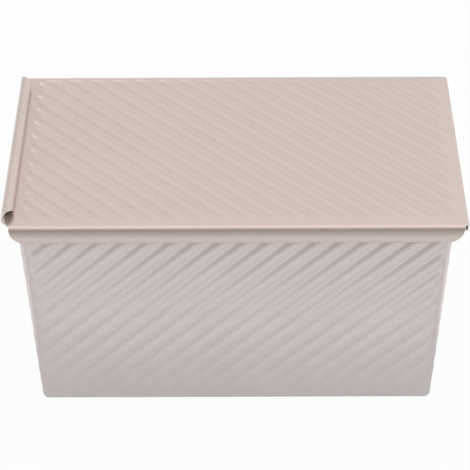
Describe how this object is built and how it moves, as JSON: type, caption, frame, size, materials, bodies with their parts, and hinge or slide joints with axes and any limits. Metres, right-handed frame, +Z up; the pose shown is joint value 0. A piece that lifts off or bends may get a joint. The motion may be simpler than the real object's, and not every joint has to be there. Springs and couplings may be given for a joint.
{
  "type": "pullman loaf pan",
  "caption": "Tapered sheet-metal loaf pan with diagonal ripples and a rolled rim, closed by a flat rippled lid that slides along the rim in folded side channels.",
  "frame": {"origin": "on the floor under the middle of the pan's base", "axes": "+X along the pan, towards the lid's hemmed end and the way the lid slides off; +Y across the pan, away from the pictured long wall; +Z up"},
  "size_m": [0.2135, 0.1234, 0.1216],
  "materials": {
    "coat": "satin champagne non-stick coating with a fine metallic grain",
    "wire": "plain drawn steel wire"
  },
  "bodies": {
    "pan": {"pan_body": "coat", "rim_wire": "wire"},
    "lid": {"lid": "coat"}
  },
  "joints": [
    {"name": "lid_slide", "type": "slide", "parent": "pan", "child": "lid", "axis": [1, 0, 0], "range_m": [0, 0.22]}
  ]
}
